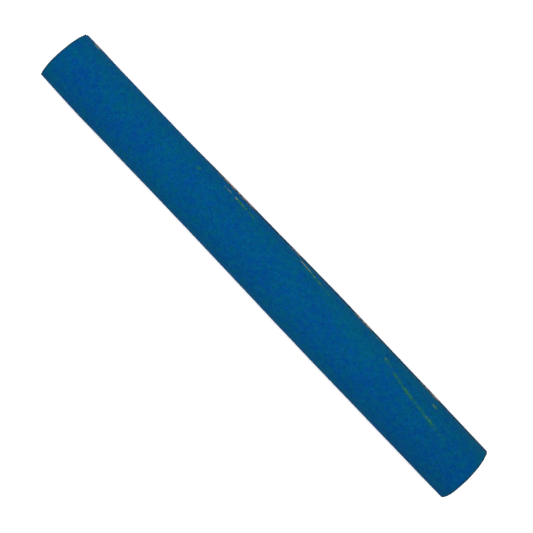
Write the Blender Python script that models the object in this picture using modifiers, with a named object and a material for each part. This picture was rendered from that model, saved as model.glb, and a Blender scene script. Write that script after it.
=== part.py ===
"""Round sanding stick: a wooden dowel with one strip of coated abrasive paper rolled round it.

The stick lies along X with its underside on Z = 0, and the origin is below the middle of the box
that holds it. Angles turn from +Y towards +Z about the dowel's axis. The strip starts low on the
+Y side, is taped to the dowel there, goes once round, laps over its own start and ends in a taped
free edge on the +Y side. It is tight on the -X half of the stick and a little slack on the +X half.
"""

import math

import bmesh
import bpy

# Driving dimensions, in metres.
STICK_LENGTH = 0.230
DOWEL_DIAMETER = 0.0222
DOWEL_SETBACK = 0.0008
DOWEL_EDGE_ROUND = 0.0005
PAPER_THICKNESS = 0.00035
COAT_THICKNESS = 0.0002
BOND_GAP = 0.00006
ROLL_GAP = 0.00025
TAPE_THICKNESS = 0.00013
TAPE_SETBACK = 0.0015
RIM_LEAN = 0.00047

# The roll, in degrees about the dowel's axis. One flat of the roll faces straight down.
FLAT_ANGLE = 12
STRAIGHT_DOWN = -90
FIRST_EDGE = -60
FREE_EDGE = 348
CORE_TAPE_END = -24
LAP_TAPE_START = 300
LAP_TAPE_END = 336

# The slack of the hand-rolled strip, in metres along the stick, with one bulge beside the seam.
SLACK = 0.00062
SLACK_START = -0.045
SLACK_FULL = 0.050
BULGE = 0.00055
BULGE_CENTRE = 0.005
BULGE_REACH = 0.055
BULGE_ANGLE = 15
BULGE_SPREAD = 75

BAYS_ALONG = 13
SHARP_ANGLE = math.radians(40)

# What follows from the driving dimensions. A middle is the radius of a layer's mid-surface.
DOWEL_RADIUS = DOWEL_DIAMETER / 2
TAPE_MIDDLE = DOWEL_RADIUS + ROLL_GAP / 2
PAPER_MIDDLE = DOWEL_RADIUS + ROLL_GAP + PAPER_THICKNESS / 2
COAT_MIDDLE = PAPER_MIDDLE + PAPER_THICKNESS / 2 + BOND_GAP + COAT_THICKNESS / 2
ROLL_RADIUS = COAT_MIDDLE + COAT_THICKNESS / 2
LAP_STEP = ROLL_RADIUS - DOWEL_RADIUS
AXIS_HEIGHT = ROLL_RADIUS * math.cos(math.radians(FLAT_ANGLE / 2))

# Each finish, as a linear colour and a roughness.
WOOD = ((0.62, 0.42, 0.22, 1.0), 0.65)
TAPE = ((0.80, 0.76, 0.60, 1.0), 0.35)
PAPER = ((0.42, 0.24, 0.10, 1.0), 0.85)
COAT = ((0.002, 0.078, 0.220, 1.0), 0.90)


def clear_scene():
    for obj in list(bpy.data.objects):
        bpy.data.objects.remove(obj, do_unlink=True)


def make_material(name, colour, roughness):
    material = bpy.data.materials.new(name)
    material.use_nodes = True
    shader = material.node_tree.nodes["Principled BSDF"]
    shader.inputs["Base Color"].default_value = colour
    shader.inputs["Roughness"].default_value = roughness
    shader.inputs["Metallic"].default_value = 0.0
    return material


def smooth_rise(value, start, end):
    """0 before start, 1 after end, and an S-curve between them."""
    share = min(max((value - start) / (end - start), 0.0), 1.0)
    return share * share * (3.0 - 2.0 * share)


def tight_distance(degrees, radius):
    """How far from the axis a tight layer runs, a step further once it lies over its own start.

    Between its turns it runs straight on, in the plane of the flat below, so the roll rests there.
    """
    if degrees >= 360 + FIRST_EDGE:
        return radius + LAP_STEP
    half_flat = math.radians(FLAT_ANGLE / 2)
    past_down = max(math.radians(degrees - STRAIGHT_DOWN - 360), half_flat)
    return radius * math.cos(half_flat) / math.cos(past_down)


def slack(along, degrees):
    """How far the roll stands off its tight radius. It is nothing where the roll rests."""
    rest_end = math.radians(STRAIGHT_DOWN + 1.5 * FLAT_ANGLE)
    lift = max(math.sin(math.radians(degrees)) - math.sin(rest_end), 0.0)
    widening = SLACK * smooth_rise(along, SLACK_START, SLACK_FULL) * lift
    from_bulge = abs((degrees - BULGE_ANGLE + 180) % 360 - 180)
    fade = 1.0 - smooth_rise(from_bulge, 0, BULGE_SPREAD)
    bulge = BULGE * fade * math.exp(-(((along - BULGE_CENTRE) / BULGE_REACH) ** 2))
    return widening + bulge


def roll_point(share, degrees, radius, setback=0.0, is_slack=True):
    """A point of a rolled layer, at a share of its length from -0.5 to 0.5.

    The end rims lean, so that the roll is shorter on the seam's side.
    """
    angle = math.radians(degrees)
    length = STICK_LENGTH - 2 * setback - 2 * RIM_LEAN * math.cos(angle)
    along = length * share
    distance = tight_distance(degrees, radius)
    if is_slack:
        distance += slack(along, degrees)
    return along, distance * math.cos(angle), distance * math.sin(angle)


def off_centre():
    """How far the middle of the roll's width lies from the axis, towards +Y."""
    shares = [bay / BAYS_ALONG - 0.5 for bay in range(BAYS_ALONG + 1)]
    angles = range(FIRST_EDGE, FREE_EDGE + 1, FLAT_ANGLE)
    widths = [roll_point(share, angle, ROLL_RADIUS)[1] for share in shares for angle in angles]
    return (max(widths) + min(widths)) / 2


def add_part(stick, name, mesh, finish):
    colour, roughness = finish
    mesh.materials.append(make_material(name + "_finish", colour, roughness))
    part = bpy.data.objects.new(name, mesh)
    part.parent = stick
    stick.users_collection[0].objects.link(part)
    return part


def add_dowel(stick):
    """A round rod with eased ends, a little shorter than the roll round it."""
    mesh = bpy.data.meshes.new("dowel_core")
    rod = bmesh.new()
    bmesh.ops.create_cone(
        rod,
        cap_ends=True,
        segments=360 // FLAT_ANGLE,
        radius1=DOWEL_RADIUS,
        radius2=DOWEL_RADIUS,
        depth=STICK_LENGTH - 2 * DOWEL_SETBACK,
    )
    rod.to_mesh(mesh)
    rod.free()
    mesh.shade_smooth()
    mesh.set_sharp_from_angle(angle=SHARP_ANGLE)
    dowel = add_part(stick, "dowel_core", mesh, WOOD)
    dowel.rotation_euler = (0.0, math.radians(90), 0.0)
    eased = dowel.modifiers.new("Eased ends", "BEVEL")
    eased.width = DOWEL_EDGE_ROUND
    eased.segments = 2
    eased.limit_method = "ANGLE"
    eased.angle_limit = SHARP_ANGLE


def add_layer(stick, name, finish, middle, thickness, angles, setback=0.0, is_slack=True):
    """A flat strip, rolled round the axis between two angles and then given its thickness."""
    first, last = angles
    mesh = bpy.data.meshes.new(name)
    strip = bmesh.new()
    rows = round((last - first) / FLAT_ANGLE)
    bmesh.ops.create_grid(strip, x_segments=BAYS_ALONG, y_segments=rows, size=0.5)
    for vert in strip.verts:
        degrees = first + (last - first) * (0.5 - vert.co.y)
        vert.co = roll_point(vert.co.x, degrees, middle, setback, is_slack)
    strip.to_mesh(mesh)
    strip.free()
    mesh.shade_smooth()
    layer = add_part(stick, name, mesh, finish)
    solid = layer.modifiers.new("Thickness", "SOLIDIFY")
    solid.thickness = thickness
    solid.offset = 0.0
    solid.use_even_offset = True
    layer.modifiers.new("Crisp rims", "WEIGHTED_NORMAL")


def add_tape(stick, name, angles, is_slack):
    add_layer(stick, name, TAPE, TAPE_MIDDLE, TAPE_THICKNESS, angles, TAPE_SETBACK, is_slack)


def main():
    clear_scene()
    collection = bpy.data.collections.new("sanding_stick")
    bpy.context.scene.collection.children.link(collection)
    stick = bpy.data.objects.new("stick_axis", None)
    stick.location = (0.0, -off_centre(), AXIS_HEIGHT)
    collection.objects.link(stick)
    whole_roll = (FIRST_EDGE, FREE_EDGE)
    add_dowel(stick)
    add_tape(stick, "core_tape", (FIRST_EDGE, CORE_TAPE_END), is_slack=False)
    add_layer(stick, "backing_paper", PAPER, PAPER_MIDDLE, PAPER_THICKNESS, whole_roll)
    add_layer(stick, "abrasive_coat", COAT, COAT_MIDDLE, COAT_THICKNESS, whole_roll)
    add_tape(stick, "lap_tape", (LAP_TAPE_START, LAP_TAPE_END), is_slack=True)


main()
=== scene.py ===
"""The looks of a sanding stick: a wooden dowel with one strip of blue abrasive paper rolled round it.

Everything is in metres, in the CAD frame: the stick lies along X with its underside on Z = 0, and
the strip's seam is on the +Y side. Angles are in degrees about the dowel's axis, from +Y towards +Z.
The strip starts at FIRST_EDGE and goes once round and on over its own start to FREE_EDGE.
"""

import math

import bmesh
import bpy
from mathutils import Matrix, Vector, noise


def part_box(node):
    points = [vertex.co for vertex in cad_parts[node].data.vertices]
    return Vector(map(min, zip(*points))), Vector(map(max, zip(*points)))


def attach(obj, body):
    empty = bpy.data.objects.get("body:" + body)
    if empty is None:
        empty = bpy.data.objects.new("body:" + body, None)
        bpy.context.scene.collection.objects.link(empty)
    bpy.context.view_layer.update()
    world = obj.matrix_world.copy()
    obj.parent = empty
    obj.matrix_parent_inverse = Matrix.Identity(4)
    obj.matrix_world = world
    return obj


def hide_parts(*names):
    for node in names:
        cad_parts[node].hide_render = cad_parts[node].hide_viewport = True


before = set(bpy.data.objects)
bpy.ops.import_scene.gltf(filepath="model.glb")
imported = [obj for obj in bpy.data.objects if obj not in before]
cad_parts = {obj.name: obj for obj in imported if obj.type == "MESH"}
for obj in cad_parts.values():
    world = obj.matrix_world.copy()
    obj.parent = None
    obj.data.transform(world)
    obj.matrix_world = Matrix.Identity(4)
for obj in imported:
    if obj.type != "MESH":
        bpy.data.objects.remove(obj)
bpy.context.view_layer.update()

MM = 0.001

# The frame that the looks are built on.
dowel_low, dowel_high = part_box("dowel_core")
AXIS = (dowel_low + dowel_high) / 2
DOWEL_RADIUS = (dowel_high.z - dowel_low.z) / 2
DOWEL_LENGTH = dowel_high.x - dowel_low.x
DOWEL_EDGE_ROUND = 0.5 * MM
DOWEL_SETBACK = 0.8 * MM
ROLL_RADIUS = AXIS.z
ROLL_LENGTH = DOWEL_LENGTH + 2 * DOWEL_SETBACK

# The layers, from the outside in. A gap lies between two layers, and a depth is how far the outer
# face of a layer lies below the outer face of the turn over it.
COAT_THICKNESS = 0.20 * MM
BOND_GAP = 0.01 * MM
PAPER_THICKNESS = 0.35 * MM
TAPE_GAP = 0.03 * MM
TAPE_THICKNESS = 0.13 * MM
TAPE_SETBACK = 1.5 * MM
PAPER_DEPTH = COAT_THICKNESS + BOND_GAP
TAPE_DEPTH = PAPER_DEPTH + PAPER_THICKNESS + TAPE_GAP
LAP_STEP = TAPE_DEPTH + TAPE_THICKNESS + TAPE_GAP

# Where the strip and its tapes lie round the dowel.
STRAIGHT_DOWN = 270
FIRST_EDGE = -60
FREE_EDGE = 344
CORE_TAPE = (-60, -24)
LAP_TAPE = (300, 335)

# The free edge is cut by hand: it moves on round by this many degrees over this stretch along.
EDGE_SKEW = 8
SKEW_STRETCH = (-60 * MM, -30 * MM)

# How far the strip stands off a tight roll. A stretch says where along the slack comes in, and a
# turn says over which degrees from the seam, or from straight down, it does.
FAR_SLACK_LEFT = 0.47 * MM
FAR_LEFT_STRETCH = (-120 * MM, -92 * MM)
FAR_SLACK_RIGHT = 0.68 * MM
FAR_RIGHT_STRETCH = (-50 * MM, 50 * MM)
SEAM_SLACK = 0.18 * MM
SEAM_BULGE = 0.62 * MM
BULGE_ALONG = 26 * MM
BULGE_LEFT_REACH = 33 * MM
BULGE_RIGHT_REACH = 85 * MM
SEAM_TO_FAR_TURN = (30, 120)
REST_TO_SLACK_TURN = (15, 75)
LAP_SOFTNESS = 0.10 * MM
WAVE_HEIGHT = 0.05 * MM
WAVE_SIZE = 14 * MM
REST_TO_WAVY_TURN = (25, 60)

# How far the free edge has sprung up: at its left corner, and in waves along the rest.
CORNER_LIFT = 0.20 * MM
CORNER_STRETCH = (-112 * MM, -92 * MM)
EDGE_LIFT = 0.08 * MM
EDGE_LIFT_SIZE = 16 * MM
EDGE_LIFT_START = 315

# The cut rims: how far they reach past the roll's own length, how they lean, waver and flare out
# beside the free edge, and the small tip that the left one has on the far side.
RIM_REACH = 0.10 * MM
LEFT_LEAN = 0.55 * MM
RIGHT_LEAN = 0.30 * MM
LEFT_CORNER = 0.80 * MM
RIGHT_CORNER = 0.85 * MM
FLARE_TURN = (10, 45)
TIP = 0.50 * MM
TIP_AT = 182
TIP_REACH = 13
CUT_WAVER = 0.12 * MM
WAVER_SIZE = 6 * MM
NIBBLE_SIZE = 0.9 * MM

# The coat: its grain and clumps, how its creases crack and wear in spots, and its cut edges, which
# are ragged and worn down, with painted shade as a dark outline along them. An edge shade is how
# strong it is at the edge and how far it reaches.
GRAIN_SIZE = 0.24 * MM
BIG_CLUMP = 1.1 * MM
SMALL_CLUMP = 0.6 * MM
CLUMP_DEPTH = 0.05 * MM
CREASE_HEIGHT = 0.12 * MM
CRACK_WIDTH = 0.45 * MM
WEAR_SPOTS = 0.6
SPOT_SIZE = 2.4 * MM
RAGGEDNESS = 0.10 * MM
EDGE_WEAR = 0.03 * MM
EDGE_WEAR_REACH = 0.3 * MM
# Painted shade: the coat's ends and rims are darkened into a dark outline.
END_PAINTED_SHADE = (0.4, 0.6 * MM)
RIM_PAINTED_SHADE = (0.9, 1.0 * MM)

# Creases in the coat: how far it is cracked through, how far it is worn round about, how wide that
# is in millimetres, and points as (millimetres along, degrees round).
CREASES = (
    (0.66, 0.35, 0.7, ((-33.5, 33), (-26, 34))),
    (0.50, 0.62, 0.9, ((-26, 34), (-17, 36))),
    (0.90, 0.55, 0.6, ((8.5, 24), (12.5, 26))),
    (0.64, 0.70, 0.9, ((12.5, 26), (17, 30), (22, 34))),
    (0.30, 0.45, 1.1, ((22, 34), (26, 38))),
    (0.50, 0.54, 0.9, ((59, 45), (66, 55))),
    (0.52, 0.66, 0.8, ((66, 55), (73, 62))),
    (0.42, 0.60, 0.8, ((73, 62), (80, 66), (91, 71))),
    (0.00, 0.44, 0.9, ((91, 71), (97, 75))),
    (0.55, 0.40, 0.6, ((80, 35), (82, 34))),
    (0.55, 0.75, 0.8, ((85, 37), (87, 38))),
    (0.75, 0.50, 0.6, ((33, 16), (35, 16))),
    (0.95, 0.30, 0.6, ((51, 14), (53, 14))),
    (0.75, 0.60, 0.7, ((-109, 16), (-107, 17))),
    (0.30, 0.60, 0.7, ((-46, 53), (-45, 49))),
)

# A broad, slightly greener band that runs on from the middle crease.
GREENER_BAND = ((12, 24), (41, 58), (56, 72))
GREENER_REACH = 3.2 * MM

# Where the strip's free edge is bare paper, in millimetres along. Elsewhere resin has darkened it.
BARE_EDGES = ((-110, -108), (-38, -20), (4, 6), (40, 47), (79, 86))
BARE_FADE = 2 * MM

# The studio. A light level of 1 would show white as just white. The camera's eye is almost above
# the middle of the stick, and the softbox hangs just above the eye.
LIGHT_LEVEL = 1.8
LAMP_SHARE = 0.47
SOFTBOX_SIZE = 0.2
SOFTBOX_ABOVE_EYE = 0.05
SEAM_SIDE_LIGHT = 0.23
FLOOR_SIZE = 3.0
FLOOR_WHITE = 0.96
CAMERA_LENS = 97.08
CAMERA_TURN = 46.29
CAMERA_AIM = 0.83 * MM
EYE = AXIS + Vector((-7.6 * MM, 0.15 * MM, 571.8 * MM))

# Colours as the light makes them look.
BLUE = (0.0006, 0.067, 0.286)
TEAL = (0.0006, 0.101, 0.206)
# The next colour is the dark resin on the paper's free edge, and painted shade, a dark outline, along
# the coat's cut edges.
STAIN_AND_EDGE_SHADE = (0.006, 0.052, 0.078)
WORN_GREEN = (0.018, 0.165, 0.034)
CRACKED_TAN = (0.20, 0.26, 0.21)
KRAFT = (0.52, 0.34, 0.18)
DARK_KRAFT = (0.40, 0.25, 0.12)
CREAM = (0.86, 0.80, 0.62)
DARK_CREAM = (0.74, 0.70, 0.56)
WOOD = (0.76, 0.56, 0.33)
DARK_WOOD = (0.50, 0.32, 0.16)
PORE = (0.30, 0.17, 0.08)

# The tree that the dowel was sawn from: where its pith was, outside the dowel, and its rings.
PITH = (0, -19 * MM, -11 * MM)
RING_WIDTH = 1.7 * MM

# Blender's noise runs from 0 to 1, and nearly all of it is within this spread.
NOISE_SPREAD = (0.26, 0.74)


def smooth_rise(value, start, end):
    """0 before start, 1 after end, and an S-curve between them."""
    share = min(max((value - start) / (end - start), 0.0), 1.0)
    return share * share * (3.0 - 2.0 * share)


def hump(value, centre, reach):
    """1 at the centre, fading to nothing beyond about two reaches."""
    return math.exp(-(((value - centre) / reach) ** 2))


def angle_between(degrees, other):
    return abs((degrees - other + 180) % 360 - 180)


def across_strip(degrees):
    """How far round the flat strip this angle lies."""
    return ROLL_RADIUS * math.radians(degrees)


def ripple(along, across, size, seed):
    """Smooth noise from -1 to 1 over the flat strip, with features of about this size."""
    return noise.noise(Vector((along / size, across / size, seed)))


# The roll's shape.


def tight_distance(degrees):
    """From the axis to the outer face where the strip is tight.

    Past straight down it runs straight on, until it lies one step out, over its own start.
    """
    well_lapped = 40
    past_down = min(max(degrees - STRAIGHT_DOWN, 0), well_lapped)
    straight = ROLL_RADIUS / math.cos(math.radians(past_down))
    lapped = ROLL_RADIUS + LAP_STEP
    return lapped - LAP_SOFTNESS * math.log(math.exp((lapped - straight) / LAP_SOFTNESS) + 1)


def slack(along, degrees):
    """How far the strip stands off its tight distance. It is nothing where the stick rests."""
    far_side = FAR_SLACK_LEFT * smooth_rise(along, *FAR_LEFT_STRETCH)
    far_side += FAR_SLACK_RIGHT * smooth_rise(along, *FAR_RIGHT_STRETCH)
    reach = BULGE_LEFT_REACH if along < BULGE_ALONG else BULGE_RIGHT_REACH
    seam_side = SEAM_SLACK + SEAM_BULGE * hump(along, BULGE_ALONG, reach)
    farness = smooth_rise(angle_between(degrees, 0), *SEAM_TO_FAR_TURN)
    looseness = seam_side + (far_side - seam_side) * farness
    return looseness * smooth_rise(angle_between(degrees, STRAIGHT_DOWN), *REST_TO_SLACK_TURN)


def edge_lift(along, degrees):
    """How far the free edge has sprung up, most of all at its left corner."""
    lift = CORNER_LIFT * (1 - smooth_rise(along, *CORNER_STRETCH))
    lift += EDGE_LIFT * max(ripple(along, 0, EDGE_LIFT_SIZE, 2.6), 0.0)
    return lift * smooth_rise(degrees, EDGE_LIFT_START, FREE_EDGE)


def paper_waves(along, degrees):
    """Shallow waves of the hand-rolled paper, away from where the stick rests."""
    waves = WAVE_HEIGHT * ripple(along, across_strip(degrees), WAVE_SIZE, 3.1)
    return waves * smooth_rise(angle_between(degrees, STRAIGHT_DOWN), *REST_TO_WAVY_TURN)


def roll_distance(along, degrees):
    distance = tight_distance(degrees) + slack(along, degrees) + edge_lift(along, degrees)
    return distance + paper_waves(along, degrees)


def roll_point(along, degrees, distance):
    angle = math.radians(degrees)
    return Vector((along, AXIS.y + distance * math.cos(angle), AXIS.z + distance * math.sin(angle)))


def rims(degrees):
    """Where the strip's left and right rims are. Both reach further out beside the free edge."""
    seam_side = math.cos(math.radians(degrees))
    across = across_strip(degrees)
    half = ROLL_LENGTH / 2 + RIM_REACH
    left = -half + LEFT_LEAN * seam_side + CUT_WAVER * ripple(0, across, WAVER_SIZE, 7.7)
    right = half - RIGHT_LEAN * seam_side + CUT_WAVER * ripple(0, across, WAVER_SIZE, 36.0)
    left -= TIP * hump(degrees, TIP_AT, TIP_REACH)
    flare = 1 - smooth_rise(angle_between(degrees, FREE_EDGE), *FLARE_TURN)
    return left - LEFT_CORNER * flare, right + RIGHT_CORNER * flare


def free_edge(along):
    """The angle at which the strip ends, a hand-cut line that runs a little out of square."""
    skew = EDGE_SKEW * smooth_rise(along, *SKEW_STRETCH)
    bow = ripple(along, 0, 40 * MM, 5.9)
    tremble = 0.3 * ripple(along, 0, 4 * MM, 6.4)
    return FREE_EDGE + skew + bow + tremble


class Sheet:
    """A layer of the roll: where its points are, and how far they lie from its cut edges.

    start and end are its angles. setback is how far it stays inside the strip's rims, and ragged is
    how deep the nibbles in its edges are.
    """

    def __init__(self, start, end, setback=0.0, ragged=0.0):
        self.start = start
        self.end = end
        self.setback = setback
        self.ragged = ragged

    def spot(self, row_share, column_share):
        """(along, degrees, distance to the nearer end, distance to the nearer rim) at these shares."""
        degrees = self.start + (self.end - self.start) * row_share
        left, right = rims(degrees)
        nibble = self.ragged * abs(ripple(0, across_strip(degrees), NIBBLE_SIZE, 2.2))
        left += self.setback + nibble
        right -= self.setback + nibble
        along = left + (right - left) * column_share
        if self.end == FREE_EDGE:
            nibble = self.ragged * abs(ripple(along, 0, NIBBLE_SIZE, 4.2))
            last = free_edge(along) - math.degrees(nibble / ROLL_RADIUS)
            degrees = self.start + (last - self.start) * row_share
        width = across_strip(self.end - self.start)
        from_ends = min(row_share, 1 - row_share) * width
        from_rims = min(along - left, right - along)
        return along, degrees, from_ends, from_rims


# Mesh building.


def join_border(shell, fine, coarse, step):
    """Closes the gap between a row of vertices and a coarser row beside it."""
    for span in range(len(coarse) - 1):
        run = fine[span * step:(span + 1) * step + 1]
        for place in range(step):
            corner = coarse[span] if place < step / 2 else coarse[span + 1]
            shell.faces.new((run[place], run[place + 1], corner))
        middle = math.ceil(step / 2)
        shell.faces.new((run[middle], coarse[span + 1], coarse[span]))


def add_grid(shell, rows, columns, point):
    """A grid of quads. point(row_share, column_share) says where each vertex is."""
    grid = []
    for row in range(rows + 1):
        points = [point(row / rows, column / columns) for column in range(columns + 1)]
        grid.append([shell.verts.new(vertex) for vertex in points])
    for row in range(rows):
        for column in range(columns):
            near, far = grid[row], grid[row + 1]
            shell.faces.new((near[column], near[column + 1], far[column + 1], far[column]))
    return grid


def add_shell(rows, columns, outside, inside, row_step=1, column_step=1):
    """A closed sheet with a fine outer face, and an inner face that is coarser by these steps."""
    shell = bmesh.new()
    outer = add_grid(shell, rows, columns, outside)
    inner = add_grid(shell, rows // row_step, columns // column_step, inside)
    join_border(shell, outer[0], inner[0], column_step)
    join_border(shell, outer[-1], inner[-1], column_step)
    join_border(shell, [row[0] for row in outer], [row[0] for row in inner], row_step)
    join_border(shell, [row[-1] for row in outer], [row[-1] for row in inner], row_step)
    bmesh.ops.recalc_face_normals(shell, faces=shell.faces)
    return shell


def add_piece(name, shell, node, material):
    """Makes a visible piece that takes the place of a CAD node."""
    sharp_angle = math.radians(50)
    mesh = bpy.data.meshes.new(name)
    shell.to_mesh(mesh)
    shell.free()
    mesh.shade_smooth()
    mesh.set_sharp_from_angle(angle=sharp_angle)
    mesh.materials.append(material)
    piece = bpy.data.objects.new(name, mesh)
    bpy.context.scene.collection.objects.link(piece)
    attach(piece, "root")
    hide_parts(node)
    return piece


# The pieces.


def from_segment(along, across, start, end):
    """Distance on the flat strip from a point to a straight run between two crease points."""
    run_along, run_across = end[0] - start[0], end[1] - start[1]
    share = (along - start[0]) * run_along + (across - start[1]) * run_across
    share = min(max(share / (run_along**2 + run_across**2), 0.0), 1.0)
    return math.hypot(along - start[0] - share * run_along, across - start[1] - share * run_across)


def straight_runs(points):
    """The straight runs between points given as (millimetres along, degrees round)."""
    flat = [(along * MM, across_strip(degrees)) for along, degrees in points]
    return list(zip(flat, flat[1:]))


CREASE_RUNS = [
    (cracked, worn, width * MM, start, end)
    for cracked, worn, width, points in CREASES
    for start, end in straight_runs(points)
]
GREENER_RUNS = straight_runs(GREENER_BAND)


def wear(along, degrees):
    """How cracked and how worn the coat is, from 0 to about 1, more in some spots than others."""
    across = across_strip(degrees)
    most_cracked, most_worn = 0.0, 0.0
    for cracked, worn, width, start, end in CREASE_RUNS:
        if start[0] - 3 * width < along < end[0] + 3 * width:
            away = from_segment(along, across, start, end)
            most_cracked = max(most_cracked, cracked * hump(away, 0.0, CRACK_WIDTH))
            most_worn = max(most_worn, worn * hump(away, 0.0, width))
    spottiness = 1.0 + WEAR_SPOTS * ripple(along, 0, SPOT_SIZE, 80.6)
    return most_cracked * spottiness, most_worn * spottiness


def greenness(along, degrees):
    """How much greener the coat is here, from 0 to about 2.

    It is greener towards both sides, in the greener band, and beside the free edge's slack half.
    """
    seam_side = 1.0 - smooth_rise(angle_between(degrees, 30), 5, 65)
    far_side = 1.0 - smooth_rise(angle_between(degrees, 175), 10, 75)
    beside_edge = hump(angle_between(degrees, 5), 0, 16) * smooth_rise(along, 0, 60 * MM)
    across = across_strip(degrees)
    away = min(from_segment(along, across, *run) for run in GREENER_RUNS)
    in_band = hump(away, 0.0, GREENER_REACH)
    return 0.6 * seam_side + 0.7 * far_side + 0.8 * in_band + 1.2 * beside_edge


def painted_edge_shade(from_edge, strength, reach):
    """How much painted shade, a dark outline, the coat has at this distance from a cut edge."""
    return strength * (1.0 - smooth_rise(from_edge, 0, reach))


def set_attribute(mesh, name, values):
    attribute = mesh.attributes.new(name, "FLOAT", "POINT")
    attribute.data.foreach_set("value", values)


def add_coat():
    """The grain: a fine outer face with valleys between the clumps, creases and ragged edges."""
    sheet = Sheet(FIRST_EDGE, FREE_EDGE, ragged=RAGGEDNESS)
    cracks, wears, painted_edge_shades, greens = [], [], [], []

    def outside(row_share, column_share):
        along, degrees, from_ends, from_rims = sheet.spot(row_share, column_share)
        across = across_strip(degrees)
        cracked, worn = wear(along, degrees)
        cracks.append(cracked)
        wears.append(worn)
        # Painted shade: a dark outline along the coat's ends and rims.
        painted_edge_shades.append(max(painted_edge_shade(from_ends, *END_PAINTED_SHADE), painted_edge_shade(from_rims, *RIM_PAINTED_SHADE)))
        greens.append(greenness(along, degrees))
        distance = roll_distance(along, degrees) + CREASE_HEIGHT * max(cracked, worn)
        clumps = 0.6 * ripple(along, across, BIG_CLUMP, 1.3)
        clumps += 0.4 * ripple(along, across, SMALL_CLUMP, 8.1)
        distance -= CLUMP_DEPTH * (0.5 - 0.5 * clumps)
        distance -= EDGE_WEAR * (1.0 - smooth_rise(min(from_ends, from_rims), 0, EDGE_WEAR_REACH))
        return roll_point(along, degrees, distance)

    def inside(row_share, column_share):
        along, degrees, *_ = sheet.spot(row_share, column_share)
        return roll_point(along, degrees, roll_distance(along, degrees) - COAT_THICKNESS)

    shell = add_shell(160, 440, outside, inside, row_step=2, column_step=4)
    hidden = [0.0] * (len(shell.verts) - len(cracks))
    coat = add_piece("abrasive_coat_grain", shell, "abrasive_coat", coat_material())
    set_attribute(coat.data, "cracked", cracks + hidden)
    set_attribute(coat.data, "worn", wears + hidden)
    set_attribute(coat.data, "edge_stain_and_shade", painted_edge_shades + hidden)
    set_attribute(coat.data, "greener", greens + hidden)


def bareness(along):
    """1 where the free edge is bare paper, 0 where resin has darkened it."""
    shares = []
    for start, end in BARE_EDGES:
        before = smooth_rise(along, start * MM - BARE_FADE, start * MM)
        shares.append(before - smooth_rise(along, end * MM, end * MM + BARE_FADE))
    return max(shares)


def add_paper():
    """The strip of kraft paper, under the coat."""
    sheet = Sheet(FIRST_EDGE, FREE_EDGE)
    free_edges, bares = [], []

    def face(depth):
        def point(row_share, column_share):
            along, degrees, *_ = sheet.spot(row_share, column_share)
            free_edges.append(smooth_rise(row_share, 0.97, 1.0))
            bares.append(bareness(along))
            return roll_point(along, degrees, roll_distance(along, degrees) - depth)

        return point

    shell = add_shell(120, 230, face(PAPER_DEPTH), face(PAPER_DEPTH + PAPER_THICKNESS))
    paper = add_piece("backing_paper_kraft", shell, "backing_paper", paper_material())
    set_attribute(paper.data, "free_edge", free_edges)
    set_attribute(paper.data, "bare", bares)


def add_tape(name, node, angles):
    """A strip of double-sided tape, under the paper of the turn over it."""
    sheet = Sheet(*angles, setback=TAPE_SETBACK)

    def face(depth):
        def point(row_share, column_share):
            along, degrees, *_ = sheet.spot(row_share, column_share)
            return roll_point(along, degrees, roll_distance(along, degrees) - depth)

        return point

    shell = add_shell(10, 120, face(TAPE_DEPTH), face(TAPE_DEPTH + TAPE_THICKNESS))
    add_piece(name, shell, node, tape_material(name + "_look"))


def dowel_profile():
    """Rings of one end of the dowel as (distance from the middle of its length, radius)."""
    face_rings = 22
    edge_rings = 4
    half = DOWEL_LENGTH / 2
    face_radius = DOWEL_RADIUS - DOWEL_EDGE_ROUND
    rings = [(half, face_radius * ring / face_rings) for ring in range(1, face_rings + 1)]
    for ring in range(1, edge_rings + 1):
        turn = math.radians(90 * ring / edge_rings)
        along = half - DOWEL_EDGE_ROUND * (1 - math.cos(turn))
        rings.append((along, DOWEL_RADIUS - DOWEL_EDGE_ROUND * (1 - math.sin(turn))))
    return rings


def sawn_face(along, y, z):
    """Where a point of the end face lies along, with the saw's marks, straight and a little uneven."""
    marks = 0.012 * MM * math.sin((y * 0.94 + z * 0.34) / (0.21 * MM))
    return along + math.copysign(marks + 0.03 * MM * ripple(y, z, 1.3 * MM, along * 9), along)


def add_dowel():
    """The round rod, with sawn end faces and eased edges."""
    segments = 120
    bays = 40
    half = DOWEL_LENGTH / 2
    profile = dowel_profile()
    barrel_half = profile[-1][0]
    barrel = [(barrel_half * (2 * bay / bays - 1), DOWEL_RADIUS) for bay in range(1, bays)]
    rings = [(-along, radius) for along, radius in profile] + barrel + profile[::-1]
    rod = bmesh.new()
    loops = []
    for along, radius in rings:
        loop = []
        for segment in range(segments):
            angle = 2 * math.pi * segment / segments
            y, z = radius * math.cos(angle), radius * math.sin(angle)
            place = sawn_face(along, y, z) if abs(along) == half else along
            loop.append(rod.verts.new((place, AXIS.y + y, AXIS.z + z)))
        loops.append(loop)
    for near, far in zip(loops, loops[1:]):
        for segment in range(segments):
            after = (segment + 1) % segments
            rod.faces.new((near[segment], near[after], far[after], far[segment]))
    for loop, along in ((loops[0], -half), (loops[-1], half)):
        centre = rod.verts.new((sawn_face(along, 0, 0), AXIS.y, AXIS.z))
        for segment in range(segments):
            rod.faces.new((centre, loop[segment], loop[(segment + 1) % segments]))
    bmesh.ops.recalc_face_normals(rod, faces=rod.faces)
    add_piece("dowel_core_wood", rod, "dowel_core", wood_material())


# Materials.


def new_material(name):
    """(material, its node tree, its shader)."""
    material = bpy.data.materials.new(name)
    material.use_nodes = True
    tree = material.node_tree
    shader = tree.nodes["Principled BSDF"]
    return material, tree, shader


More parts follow.
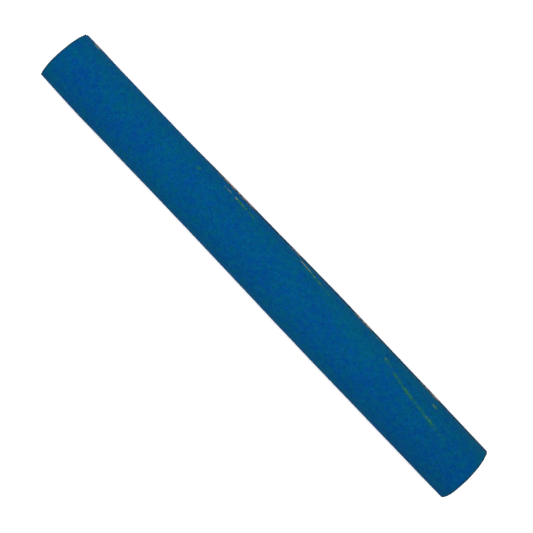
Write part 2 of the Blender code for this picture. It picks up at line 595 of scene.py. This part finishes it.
def add_node(tree, kind, inputs, **settings):
    """A shader node. inputs maps an input to a value, or to the output that feeds it."""
    node = tree.nodes.new("ShaderNode" + kind)
    for name, value in settings.items():
        setattr(node, name, value)
    for name, value in inputs.items():
        if isinstance(value, bpy.types.NodeSocket):
            tree.links.new(value, node.inputs[name])
        else:
            node.inputs[name].default_value = value
    return node


def object_point(tree, stretch=(1, 1, 1)):
    """The place on the piece, scaled by these amounts before a pattern is drawn on it."""
    point = add_node(tree, "TexCoord", {}).outputs["Object"]
    return add_node(tree, "Mapping", {"Vector": point, "Scale": stretch}).outputs["Vector"]


def clouds(tree, point, size, detail=2.0):
    """Noise from 0 to 1, with features of about this size in metres."""
    inputs = {"Vector": point, "Scale": 1 / size, "Detail": detail}
    return add_node(tree, "TexNoise", inputs).outputs["Fac"]


def rise(tree, value, start, end):
    """0 before start, 1 after end, and an S-curve between them."""
    inputs = {"Value": value, "From Min": start, "From Max": end}
    return add_node(tree, "MapRange", inputs, interpolation_type="SMOOTHSTEP").outputs["Result"]


def calculate(tree, operation, first, second):
    return add_node(tree, "Math", {0: first, 1: second}, operation=operation).outputs[0]


def scaled(tree, value, gain, offset):
    """value times gain, plus offset."""
    inputs = {0: value, 1: gain, 2: offset}
    return add_node(tree, "Math", inputs, operation="MULTIPLY_ADD").outputs[0]


def mix_values(tree, share, first, second):
    return add_node(tree, "Mix", {0: share, 2: first, 3: second}).outputs[0]


def colour(rgb):
    """The base colour that looks like this under the studio's light."""
    return (*[channel / LIGHT_LEVEL for channel in rgb], 1.0)


def mix_colours(tree, share, first, second, blend="MIX"):
    inputs = {0: share, 6: first, 7: second}
    return add_node(tree, "Mix", inputs, data_type="RGBA", blend_type=blend).outputs[2]


def grey(tree, value):
    return add_node(tree, "CombineColor", {"Red": value, "Green": value, "Blue": value}).outputs[0]


def attribute(tree, name):
    return add_node(tree, "Attribute", {}, attribute_name=name).outputs["Fac"]


def add_bump(tree, shader, height, strength, depth):
    bump = add_node(tree, "Bump", {"Height": height, "Strength": strength, "Distance": depth})
    tree.links.new(bump.outputs["Normal"], shader.inputs["Normal"])


def clean_grain(tree, point, distance, chance):
    """Blue to teal grain: clumped hues and shades, lit facets and dark gaps.

    distance is that from the middle of a grain, and chance is a random number for each grain. The
    grain is darker towards the right end, with painted shade for light that falls off there.
    """
    fine_hue = rise(tree, clouds(tree, point, 2.3 * MM), *NOISE_SPREAD)
    broad_hue = rise(tree, clouds(tree, point, 22 * MM), *NOISE_SPREAD)
    hue = mix_values(tree, 0.25, fine_hue, broad_hue)
    hue = calculate(tree, "ADD", hue, scaled(tree, attribute(tree, "greener"), 0.34, 0.0))
    base = mix_colours(tree, hue, colour(BLUE), colour(TEAL))
    clumps = clouds(tree, object_point(tree, (1.07, 0.93, 1.0)), 1.4 * MM)
    clumps = scaled(tree, clumps, 0.40, 0.80)
    lit = scaled(tree, distance, -0.50, 1.27)
    facets = calculate(tree, "MULTIPLY", lit, scaled(tree, chance, 0.50, 0.75))
    along = add_node(tree, "SeparateXYZ", {"Vector": point}).outputs["X"]
    # Painted shade: darker towards the right end, for light that falls off there.
    right_end_painted_shade = scaled(tree, rise(tree, along, 30 * MM, 120 * MM), -0.09, 1.0)
    shade = calculate(tree, "MULTIPLY", calculate(tree, "MULTIPLY", clumps, facets), right_end_painted_shade)
    return mix_colours(tree, 1.0, base, grey(tree, shade), "MULTIPLY")


def coat_material():
    """Blue mineral grain in resin, worn and cracked to green and tan along its creases."""
    material, tree, shader = new_material("blue_grain_look")
    point = object_point(tree)
    grains = add_node(tree, "TexVoronoi", {"Vector": point, "Scale": 1 / GRAIN_SIZE})
    distance = grains.outputs["Distance"]
    chance = add_node(tree, "SeparateColor", {"Color": grains.outputs["Color"]}).outputs
    coat_colour = clean_grain(tree, point, distance, chance["Red"])
    # Painted shade: the dark outline along the coat's cut edges.
    coat_colour = mix_colours(tree, attribute(tree, "edge_stain_and_shade"), coat_colour, colour(STAIN_AND_EDGE_SHADE))
    worn = rise(tree, calculate(tree, "SUBTRACT", attribute(tree, "worn"), chance["Green"]), 0.0, 0.25)
    coat_colour = mix_colours(tree, worn, coat_colour, colour(WORN_GREEN))
    flakes = clouds(tree, object_point(tree, (0.6, 1, 1)), 0.9 * MM, 3.0)
    flaked = rise(tree, calculate(tree, "MULTIPLY", attribute(tree, "cracked"), flakes), 0.25, 0.31)
    coat_colour = mix_colours(tree, flaked, coat_colour, colour(CRACKED_TAN))
    tree.links.new(coat_colour, shader.inputs["Base Color"])
    tree.links.new(scaled(tree, chance["Blue"], 0.15, 0.80), shader.inputs["Roughness"])
    shader.inputs["Specular IOR Level"].default_value = 0.01
    add_bump(tree, shader, scaled(tree, distance, -1.0, 1.0), 0.8, 0.10 * MM)
    return material


def paper_material():
    """Tan kraft paper with fibres, darkened by resin along parts of its free edge."""
    material, tree, shader = new_material("kraft_paper_look")
    fibres = clouds(tree, object_point(tree, (0.25, 1, 1)), 0.35 * MM, 4.0)
    blotches = clouds(tree, object_point(tree), 5 * MM)
    share = rise(tree, mix_values(tree, 0.3, fibres, blotches), 0.35, 0.65)
    tan = mix_colours(tree, share, colour(DARK_KRAFT), colour(KRAFT))
    patches = rise(tree, clouds(tree, object_point(tree), 2 * MM), 0.35, 0.55)
    bare = calculate(tree, "MULTIPLY", attribute(tree, "bare"), patches)
    edge_stain_and_shade = calculate(tree, "MULTIPLY", attribute(tree, "free_edge"), scaled(tree, bare, -1.0, 1.0))
    tree.links.new(mix_colours(tree, edge_stain_and_shade, tan, colour(STAIN_AND_EDGE_SHADE)), shader.inputs["Base Color"])
    tree.links.new(scaled(tree, fibres, 0.2, 0.72), shader.inputs["Roughness"])
    shader.inputs["Specular IOR Level"].default_value = 0.2
    add_bump(tree, shader, fibres, 0.4, 0.03 * MM)
    return material


def tape_material(name):
    """Off-white tape with a faintly cloudy, sticky surface."""
    material, tree, shader = new_material(name)
    haze = clouds(tree, object_point(tree), 3 * MM, 3.0)
    tape_colour = mix_colours(tree, haze, colour(CREAM), colour(DARK_CREAM))
    tree.links.new(tape_colour, shader.inputs["Base Color"])
    tree.links.new(scaled(tree, haze, 0.3, 0.2), shader.inputs["Roughness"])
    add_bump(tree, shader, haze, 0.2, 0.02 * MM)
    return material


def from_pith(tree, point):
    """Distance in the YZ plane from the tree's pith, which lies outside the dowel."""
    offset = add_node(tree, "VectorMath", {0: point, 1: PITH}, operation="SUBTRACT").outputs[0]
    flat = add_node(tree, "VectorMath", {0: offset, 1: (0, 1, 1)}, operation="MULTIPLY").outputs[0]
    return add_node(tree, "VectorMath", {0: flat}, operation="LENGTH").outputs["Value"]


def wood_material():
    """Pale hardwood: growth rings, pores drawn out along the grain, and sawn ends."""
    material, tree, shader = new_material("dowel_wood_look")
    years = scaled(tree, from_pith(tree, object_point(tree)), 1 / RING_WIDTH, 0.0)
    wander = scaled(tree, clouds(tree, object_point(tree, (0.15, 1, 1)), 9 * MM), 1.6, 0.0)
    years = calculate(tree, "ADD", years, wander)
    ring = rise(tree, calculate(tree, "FRACT", years, 0.0), 0.35, 1.0)
    fleck = clouds(tree, object_point(tree, (0.05, 1, 1)), 0.6 * MM, 4.0)
    pores = rise(tree, clouds(tree, object_point(tree, (0.05, 1, 1)), 0.13 * MM, 2.0), 0.60, 0.72)
    share = mix_values(tree, 0.45, ring, fleck)
    wood = mix_colours(tree, share, colour(WOOD), colour(DARK_WOOD))
    wood = mix_colours(tree, scaled(tree, pores, 0.45, 0.0), wood, colour(PORE))
    tree.links.new(wood, shader.inputs["Base Color"])
    shader.inputs["Roughness"].default_value = 0.65
    shader.inputs["Specular IOR Level"].default_value = 0.25
    height = calculate(tree, "SUBTRACT", scaled(tree, ring, 0.4, 0.0), pores)
    add_bump(tree, shader, height, 0.5, 0.06 * MM)
    return material


# The studio.


def add_floor():
    """A plain pale floor under the stick."""
    half = FLOOR_SIZE / 2
    mesh = bpy.data.meshes.new("studio_floor")
    corners = [(-half, -half, 0), (half, -half, 0), (half, half, 0), (-half, half, 0)]
    mesh.from_pydata([Vector(corner) for corner in corners], [], [(0, 1, 2, 3)])
    material, _, shader = new_material("pale_floor")
    shader.inputs["Base Color"].default_value = (FLOOR_WHITE, FLOOR_WHITE, FLOOR_WHITE, 1.0)
    shader.inputs["Roughness"].default_value = 0.9
    shader.inputs["Specular IOR Level"].default_value = 0.1
    mesh.materials.append(material)
    floor = bpy.data.objects.new("studio_floor", mesh)
    bpy.context.scene.collection.objects.link(floor)


def add_dome(brightness):
    """Soft light from all round, a little brighter on the seam's side."""
    world = bpy.data.worlds.new("studio_dome")
    world.use_nodes = True
    tree = world.node_tree
    direction = add_node(tree, "TexCoord", {}).outputs["Generated"]
    seam_side = add_node(tree, "SeparateXYZ", {"Vector": direction}).outputs["Y"]
    strength = scaled(tree, seam_side, SEAM_SIDE_LIGHT * brightness, brightness)
    tree.links.new(strength, tree.nodes["Background"].inputs["Strength"])
    tree.nodes["Background"].inputs["Color"].default_value = (1.0, 1.0, 1.0, 1.0)
    bpy.context.scene.world = world


def add_softbox(place, size, irradiance):
    """A square lamp that looks straight down and gives this irradiance below it."""
    lamp = bpy.data.lights.new("softbox", "AREA")
    lamp.shape = "SQUARE"
    lamp.size = size
    lamp.energy = irradiance * math.pi * math.pi * (place.z - AXIS.z) ** 2
    softbox = bpy.data.objects.new("softbox", lamp)
    softbox.location = place
    softbox.visible_camera = False
    bpy.context.scene.collection.objects.link(softbox)


def add_camera():
    """Straight above the stick, a hair to its left, with the stick running down to the right."""
    aim = Vector((CAMERA_AIM, EYE.y, AXIS.z))
    turn = math.radians(CAMERA_TURN)
    back = (EYE - aim).normalized()
    right = Vector((-math.sin(turn), math.cos(turn), 0)).cross(back).normalized()
    up = back.cross(right)
    camera_data = bpy.data.cameras.new("camera")
    camera_data.sensor_width = 36
    camera_data.lens = CAMERA_LENS
    camera_data.clip_start = 0.01
    camera = bpy.data.objects.new("camera", camera_data)
    camera.matrix_world = Matrix.Translation(EYE) @ Matrix((right, up, back)).transposed().to_4x4()
    bpy.context.scene.collection.objects.link(camera)
    bpy.context.scene.camera = camera


def save_size():
    bpy.context.view_layer.update()


add_camera()
bpy.context.scene.view_settings.view_transform = "Standard"
add_floor()
add_dome((1 - LAMP_SHARE) * LIGHT_LEVEL)
add_softbox(EYE + Vector((0, 0, SOFTBOX_ABOVE_EYE)), SOFTBOX_SIZE, LAMP_SHARE * LIGHT_LEVEL)
add_dowel()
add_tape("core_tape_film", "core_tape", CORE_TAPE)
add_paper()
add_coat()
add_tape("lap_tape_film", "lap_tape", LAP_TAPE)
save_size()
